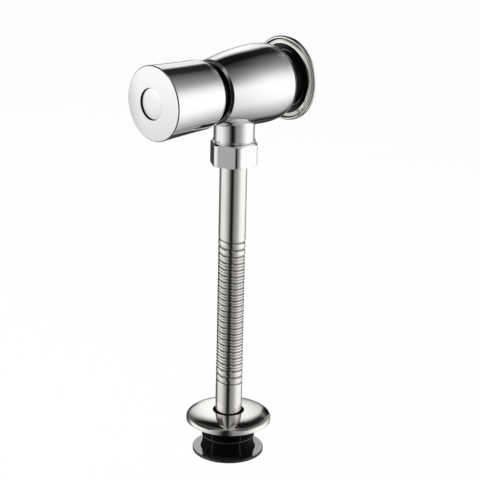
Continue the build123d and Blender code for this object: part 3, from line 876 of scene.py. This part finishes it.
tail_angles = np.linspace(0, math.pi / 2, 28)
tail = np.column_stack([tail_radius + (side_start_radius - tail_radius) * np.cos(tail_angles),
                        tail_end - (tail_end - tail_start) * np.sin(tail_angles)])
face_radii = np.linspace(crown_start, recess_radius, 24)
face = np.column_stack([face_radii, face_out + crown * (1 - (face_radii / crown_start) ** 2)])
side_end = face_out - edge_round
cap_outline = rounded(
    0.2, tail[::-1],
    bow((side_start_radius, tail_end), (side_middle_radius, (tail_end + side_end) / 2),
        (front_radius, side_end), 40)[1:],
    face, [(recess_radius, recess_floor)],
    stairs(recess_floor, screw_head, recess_floor - head_depth, screw_shank,
           inner_face - stem_length, stem_radius, inner_face, cavity_radius),
    [(cavity_radius - 0.5, button_rear + 7.0), (tail_bore, button_rear + 5.5),
     (tail_bore, button_rear)])
cap = turned("button_shell", on_valve_line, cap_outline, 192, chrome_valve, "button",
             "chrome_button", "button_cap")

# %% Recess walls and inlay
inlay_back, inlay_apex = span_out("button_inlay")
inlay_radius = recess_radius - 0.2
inlay_edge = inlay_apex - 0.55
inlay_crown = 0.79
inlay_fall = 3.5


def in_recess(middle):
    """True for faces inside the recess, between its floor and just below its rim."""
    radius, out = off_valve_line(middle)
    return (radius < recess_radius + 0.05) & (out < button_apex - 0.15) & (out > recess_floor - 0.1)


# Painted shade inside the recess round the disc.
repaint(cap, (painted_shade_metal,), in_recess)

inlay_radii = np.linspace(inlay_radius, 0, 30)
inlay_outs = inlay_edge + inlay_crown * (1 - (inlay_radii / inlay_radius) ** inlay_fall)
inlay_outline = rounded(0.25, [(0.0, inlay_back), (inlay_radius, inlay_back)],
                        np.column_stack([inlay_radii, inlay_outs]), closed=False)
turned("face_inlay", on_valve_line, inlay_outline, 128, satin_inlay, "button", "chrome_inlay",
       "button_inlay", closed=False)

# %% [markdown]
# The bonnet is the screwed insert between button and barrel. Only its collar and the sleeve that
# guides the button show in the gap. It is painted dark all over, as painted shade in the gap,
# except for the chamfered front edge of its collar.

# %% Bonnet
bonnet_back, sleeve_end = span_out("bonnet")
bonnet_radius = 14.5
collar_start = mouth_floor + 1.4
collar_end = collar_start + 1.9
collar_radius = 15.7
collar_chamfer = 0.4
sleeve_radius = 14.0
gland_radius, gland_floor = 6.45, 70.0
rod_radius = 3.6
cylinder_radius, cylinder_end = 11.0, 66.0
bonnet_outline = rounded(
    0.2, stairs(bonnet_back, bonnet_radius, collar_start, collar_radius,
                collar_end - collar_chamfer),
    [(collar_radius - collar_chamfer, collar_end)],
    stairs(collar_end, sleeve_radius, sleeve_end, gland_radius, gland_floor, rod_radius,
           cylinder_end, cylinder_radius, bonnet_back))
# Painted shade: the whole bonnet is dark, as the gap round it is.
bonnet = turned("bonnet_insert", on_valve_line, bonnet_outline, 128, painted_shade_metal, "valve",
                "chrome_body", "bonnet")


def collar_edge(middle):
    """True for the chamfered front edge of the collar, which is bare metal without the painted
    shade.
    """
    radius, out = off_valve_line(middle)
    chamfer_middle = collar_end - collar_chamfer / 2
    return (radius > collar_radius - 0.45) & (np.abs(out - chamfer_middle) < 0.26)


repaint(bonnet, (drawn_steel,), collar_edge)

# %% [markdown]
# The wall flange is pressed from thin sheet: a flat ring round the boss, a step up to a crown that
# falls outwards, a crease and a rim that turns back to the wall.

# %% Wall flange
flange_radius = half_width("wall_flange")
flange_height = span_out("wall_flange")[1]
flange_hole = 15.75
flat_radius = 19.0
crease_radius = 21.75
crown_height = flange_height + 0.25
rim_start = crease_radius + 0.2
rim_top = crown_height - 0.4
sheet = 0.8
flange_outline = rounded(
    0.12, stairs(0.0, flange_hole, sheet, flat_radius), [(flat_radius + 0.15, crown_height - 0.05)],
    bow((flat_radius + 0.4, crown_height), (20.5, 1.78), (crease_radius - 0.25, 1.25), 12),
    [(crease_radius, 0.95), (rim_start, rim_top)],
    curve([(rim_start + 0.1, rim_top), (22.7, rim_top), (flange_radius, 1.4),
           (flange_radius, 0.2)], 18),
    [(flange_radius, 0.0), (flange_radius - sheet, 0.0), (flange_radius - sheet, 0.5),
     (crease_radius, 0.2), (20.0, 1.0), (19.7, 0.0)])
flange = turned("flange_ring", on_valve_line, flange_outline, 160, flange_steel, "flange",
                "polished_steel", "wall_flange")


def flange_zone(middle):
    """1 on the flat ring and in the crease, which get painted shade, 2 on the rim and 0 elsewhere.
    """
    radius = off_valve_line(middle)[0]
    ring = (radius > flange_hole + 0.4) & (radius < flat_radius + 0.1)
    crease = np.abs(radius - crease_radius) < 0.28
    return np.where(ring | crease, 1, np.where(radius > crease_radius, 2, 0))


# Painted shade on the flat ring and in the crease.
repaint(flange, (painted_shade_metal, rim_steel), flange_zone)

# %% [markdown]
# The union nut is a turned blank with a hexagon cut round it. The blank's outline has the chamfers
# and the bore. The hexagon is a radius that depends on the angle, and the nut takes the smaller of
# the two. The six upright edges are broad arcs, and a soft minimum also rounds the edges between
# hexagon and chamfer, as polishing does: it adds both radii raised to a high negative power and
# takes the root.

# %% Union nut
nut_top, nut_bottom = span_drop("union_nut")
nut_flats = 24.0
nut_turn = math.radians(27.0)
nut_corner = 13.9
nut_face = nut_flats / 2 - 0.4
nut_slope = (nut_corner - nut_face) * math.tan(math.radians(30))
nut_bore, nut_thread, nut_lip = 7.9, 10.6, 2.5
hex_round = 4.0
edge_sharpness = 90


def hexagon(radius, place, angle):
    """Smaller of the blank's radius and a hexagon with round corners. Near a corner the hexagon's
    radius is where the ray meets the corner's circle, and elsewhere it is the flat's distance
    divided by the cosine of the angle from the flat's middle."""
    sixth = math.pi / 3
    off_corner = (angle - math.pi / 2 - nut_turn) % sixth
    off_corner = np.minimum(off_corner, sixth - off_corner)
    circle_out = (nut_flats / 2 - hex_round) / math.cos(sixth / 2)
    on_circle = sixth / 2 - math.atan2(circle_out * math.sin(sixth / 2), nut_flats / 2)
    inside = np.maximum(hex_round ** 2 - (circle_out * np.sin(off_corner)) ** 2, 0)
    circle = circle_out * np.cos(off_corner) + np.sqrt(inside)
    flat = nut_flats / 2 / np.cos(sixth / 2 - off_corner)
    hexed = np.where(off_corner < on_circle, circle, flat)
    return (radius ** -edge_sharpness + hexed ** -edge_sharpness) ** (-1 / edge_sharpness)


side_top = (nut_corner, nut_top + nut_slope)
nut_outline = rounded(
    0.12, np.linspace((nut_thread, nut_top), (nut_face, nut_top), 3),
    np.linspace((nut_face, nut_top), side_top, 10)[1:-1],
    np.linspace(side_top, (nut_corner, nut_bottom - nut_slope / 2), 30),
    [((nut_corner + nut_face) / 2, nut_bottom)],
    stairs(nut_bottom, nut_bore, nut_bottom - nut_lip, nut_thread))
turned("hex_nut", on_tube_line, nut_outline, 480, chrome_union, "union_nut", "chrome_nut",
       "union_nut", reshape=hexagon)

# %% [markdown]
# The flush tube is thin enough to be bent by hand. A roller has pressed one groove round and round
# it like a thread, about four turns to each 15 mm, and the ridges between keep a dent in their
# middle, except beside the first and the last turns. The groove's number along the tube less the
# angle in turns stays the same along the groove, so its fraction tells how far a point is from the
# groove. The bottom of the groove and of the dent is painted darker, as painted shade.

# %% Grooves of the flush tube
groove_count = 24
groove_first = 84.9
groove_last = 168.75
groove_depth = 0.55
groove_width = 0.16
dent_share = 0.6
dent_width = 0.12
dent_first = groove_first + 8.0
dent_last = groove_last - 6.5
dent_fade = 4.0
end_reach = 3.5
end_fade = 6.0
pitch_growth = 0.1
shade_share = 0.6
shade_reach = 2.0
shade_depth = 0.15
groove_numbers = np.arange(-1, groove_count + 1)
share = groove_numbers / (groove_count - 1)
groove_drops = groove_first + (groove_last - groove_first) * (
    share + pitch_growth * np.sin(2 * math.pi * share) / (2 * math.pi))


def turns_away(place, angle):
    """Distance from the middle of the groove in turns, 0 to a half: number less angle, rounded."""
    turns = np.interp(place, groove_drops, groove_numbers) - angle / (2 * math.pi)
    return np.abs((turns + 0.5) % 1.0 - 0.5)


def rolled_groove(radius, place, angle):
    """Radius less the groove and its dent, fading out beyond the first and the last turn."""
    away = turns_away(place, angle)
    groove = np.exp(-(away / groove_width) ** 2)
    dent = dent_share * np.exp(-((away - 0.5) / dent_width) ** 2)
    dent = dent * faded(place, dent_first, dent_last, dent_fade)
    ends = faded(place, groove_first - end_reach, groove_last + end_reach, end_fade)
    return radius - groove_depth * (groove + dent) * ends


def groove_zone(middle):
    """True at the bottom of the groove and of the dent, on the outside of the tube, where shade is
    painted.
    """
    radius, drop, angle = off_tube_line(middle)
    away = turns_away(drop, angle)
    grooved = (drop > groove_first - shade_reach) & (drop < groove_last + shade_reach)
    dented = (drop > dent_first + shade_reach) & (drop < dent_last - shade_reach)
    bottom = (away < shade_share * groove_width) | (dented & (away > 0.5 - dent_width / 2))
    return grooved & bottom & (radius > tube_bore + 0.1) & (radius < tube_radius - shade_depth)


# %% Flush tube
tube_top, tube_end = span_drop("flush_tube")
tube_radius = 7.5
tube_bore = 6.6
rolled_collar = 9.8
wall_start = tube_top + 1.2
grooved = np.linspace(groove_first - 4, groove_last + 4, 620)
wall_places = np.concatenate([np.linspace(wall_start, grooved[0], 30)[1:-1], grooved,
                              np.linspace(grooved[-1], tube_end, 30)[1:-1]])
bore_places = wall_places[::8][::-1]
tube_outline = rounded(
    0.15, [(tube_bore, tube_top)], stairs(tube_top, rolled_collar, wall_start, tube_radius),
    np.column_stack([0 * wall_places + tube_radius, wall_places]),
    [(tube_radius, tube_end), (tube_bore, tube_end)],
    np.column_stack([0 * bore_places + tube_bore, bore_places]))
tube = turned("rolled_tube", on_tube_line, tube_outline, 108, chrome_tube, "valve", "chrome_tube",
              "flush_tube", reshape=rolled_groove)
# Painted shade at the bottom of the groove and of the dent.
repaint(tube, (groove_shade_chrome,), groove_zone)

# %% [markdown]
# The dome is pressed from sheet and slides on the tube until its rim lies on the china. It is
# nearly flat at the hole and falls ever more steeply to a short upright rim.

# %% Dome
dome_top, dome_rim = span_drop("spud_escutcheon")
dome_radius = half_width("spud_escutcheon")
dome_hole = 8.9
dome_flat = 18.6
dome_fall = 1.4
rim_height = 1.2


def dome_face(inset):
    """One face of the sheet, from the hole to the rim, set in from the outside."""
    return curve([(dome_hole, dome_top + inset), (dome_flat, dome_top + inset),
                  (dome_radius - inset, dome_top + dome_fall + inset),
                  (dome_radius - inset, dome_rim - rim_height)], 40)


dome_outline = rounded(
    0.2, dome_face(0), [(dome_radius, dome_rim), (dome_radius - sheet, dome_rim)],
    dome_face(sheet)[::-1])
turned("dome_cover", on_tube_line, dome_outline, 192, dome_steel, "escutcheon",
       "polished_steel", "spud_escutcheon")

# %% [markdown]
# The grommet is a soft rubber sleeve. A bead marks how far it goes into the china, and two faint
# upright lines show where the halves of its mould met, as fine ribs. The bead, the lines and the
# flange's edge are painted lighter, as painted highlights, and the flange's top as painted sheen.

# %% Grommet
grommet_top, grommet_end = span_drop("spud_grommet")
grommet_bore = 7.6
bead_drop = 202.2
flange_top = grommet_end - 1.7
grommet_flange = half_width("spud_grommet")
sleeve_foot = 15.6
seam_angles = np.radians([8.6, 74.0])
seam_paint = 0.013
seam_width = 0.03
seam_height = 0.05
bead_half = 0.7
sleeve_outside = 13.5
# Width of the flange's edge band that gets a painted highlight.
highlight_band = 0.25


def off_seam(angle):
    """Angle to the nearer mould line, wrapped to half a turn either way."""
    off = (angle[..., None] - seam_angles + math.pi) % (2 * math.pi) - math.pi
    return np.abs(off).min(-1)


def mould_seams(radius, place, angle):
    """Radius raised by a fine rib at each mould line, on the outside of the sleeve only."""
    rib = seam_height * np.exp(-(off_seam(angle) / seam_width) ** 2)
    return radius + rib * ((radius > sleeve_outside) & (place < flange_top - 0.5))


def grommet_zone(middle):
    """1 on the bead, the mould lines and the flange's edge, as painted highlights, 2 on the
    flange's top, as painted sheen, and 0 elsewhere.
    """
    radius, drop, angle = off_tube_line(middle)
    bead = (np.abs(drop - bead_drop) < bead_half) & (radius > sleeve_outside + 1.0)
    seam = (off_seam(angle) < seam_paint) & (radius > sleeve_outside + 0.4) & (drop < flange_top)
    edge = radius > grommet_flange - highlight_band
    top = (drop < flange_top + 0.1) & (radius > sleeve_foot + 0.1)
    return np.where(top & ~edge, 2, (bead | seam | edge).astype(int))


grommet_outline = rounded(
    0.35, [(grommet_bore, grommet_top), (13.6, grommet_top)],
    curve([(14.1, grommet_top + 0.2), (14.4, grommet_top + 0.8), (14.7, 196.0),
           (15.0, bead_drop - 0.6)], 12),
    curve([(15.0, bead_drop - 0.3), (15.15, bead_drop), (14.9, bead_drop + 0.4),
           (14.25, bead_drop + 0.8)], 8),
    curve([(14.3, bead_drop + 1.0), (14.5, 206.0), (15.0, flange_top - 1.0),
           (sleeve_foot, flange_top)], 12),
    [(grommet_flange, flange_top), (grommet_flange, grommet_end), (11.0, grommet_end),
     (grommet_bore, grommet_end - 5.6)])
grommet = turned("rubber_grommet", on_tube_line, grommet_outline, 256, black_rubber, "valve",
                 "black_rubber", "spud_grommet", reshape=mould_seams)
# Painted highlight on the bead, the mould lines and the flange's edge, painted sheen on its top.
repaint(grommet, (highlight_rubber, shiny_rubber), grommet_zone)

# %% [markdown]
# The nipple screws into the wall fitting. It is the only thread that shows before the valve is
# fitted, so its helix is real.

# %% Inlet nipple
nipple_back, nipple_front = span_out("inlet_nipple")
nipple_radius = half_width("inlet_nipple")
nipple_root = 9.4
nipple_bore, strainer_bore, strainer_depth = 6.4, 8.0, 11.0
nipple_chamfer = 0.8
relief = (0.5, 1.5)


def nipple_threads(radius, place, angle):
    """Thread behind the wall and a second one inside the body, with the plain relief between."""
    inside = thread(radius, place, angle, relief[1], nipple_front - 0.5, nipple_radius)
    return thread(inside, place, angle, nipple_back + 0.5, relief[0], nipple_radius)


end_radius = nipple_radius - nipple_chamfer
nipple_outline = rounded(
    0.15, [(nipple_bore, nipple_front), (end_radius, nipple_front)],
    np.linspace((nipple_radius, nipple_front - nipple_chamfer), (nipple_radius, relief[1]), 80),
    [(nipple_root, relief[1]), (nipple_root, relief[0])],
    np.linspace((nipple_radius, relief[0]), (nipple_radius, nipple_back + nipple_chamfer), 150),
    [(end_radius, nipple_back)],
    stairs(nipple_back, strainer_bore, nipple_back + strainer_depth, nipple_bore))
turned("threaded_nipple", on_valve_line, nipple_outline, 96, turned_brass, "valve", "brass",
       "inlet_nipple", reshape=nipple_threads)

# %% [markdown]
# Both springs are round wire carried along a helix, and their end turns lie flat on the seats.

# %% Springs
turn_steps = 36
wire_sides = 12
climb_ease = 0.55


def ring_cap(first, count):
    """Quads that close a ring of points, as strips between its two halves."""
    step = np.arange(count // 2 - 1)
    return np.stack([first + step, first + step + 1, first + count - 2 - step,
                     first + count - 1 - step], axis=-1)


def spring(name, node, radius, wire, turns):
    """Wire round a helix. The climb eases in and out, so the end turns close on themselves."""
    fixed_out, moving_out = span_out(node)
    share = np.linspace(0, 1, turns * turn_steps)[:, None]
    round_wire = np.linspace(0, 2 * math.pi, wire_sides, endpoint=False)
    climb = share - np.sin(2 * math.pi * share) / (2 * math.pi) * climb_ease
    start, end = fixed_out + wire, moving_out - wire
    place = start + (end - start) * climb + wire * np.sin(round_wire)
    points = on_valve_line(radius + wire * np.cos(round_wire), place, 2 * math.pi * turns * share)
    faces = np.concatenate([
        grid_faces(len(points), wire_sides, False).reshape(-1, 4),
        ring_cap(0, wire_sides), ring_cap((len(points) - 1) * wire_sides, wire_sides)])
    piece = make_piece(name, points, faces, drawn_steel, "valve", "stainless", node)
    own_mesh(piece)


spring("button_coil", "button_spring", 8.5, 0.6, 5)
spring("closing_coil", "closing_spring", 7.1, 0.5, 5)

# %% [markdown]
# The small inner pieces keep their CAD shapes, which are right as they are. They only need their
# finishes.

# %% Finishes on the CAD pieces
cad_finishes = {
    turned_brass: ("valve_seat", "gland_nut", "piston", "piston_nut", "clack", "clack_nut"),
    drawn_steel: ("push_rod", "button_screw"),
    seal_rubber: ("bonnet_o_ring", "gland_packing", "cup_seal", "clack_washer", "outlet_washer"),
    red_fibre: ("nipple_washer",),
    white_plastic: ("inlet_strainer", "slip_ring"),
}
for finish, nodes in cad_finishes.items():
    for node in nodes:
        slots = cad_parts[node].data.materials
        slots.clear()
        slots.append(finish)
print("CAD pieces finished:", sum(len(nodes) for nodes in cad_finishes.values()))

# %% [markdown]
# The visual model has to stay inside the construction's box. The visual model's box is printed at
# the end. Both boxes are written down, and the
# frame's own check closes the script.

# %% Print the visual box
low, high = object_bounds()
print("visual box, mm:", [round((b - a) / mm, 1) for a, b in zip(low, high)])
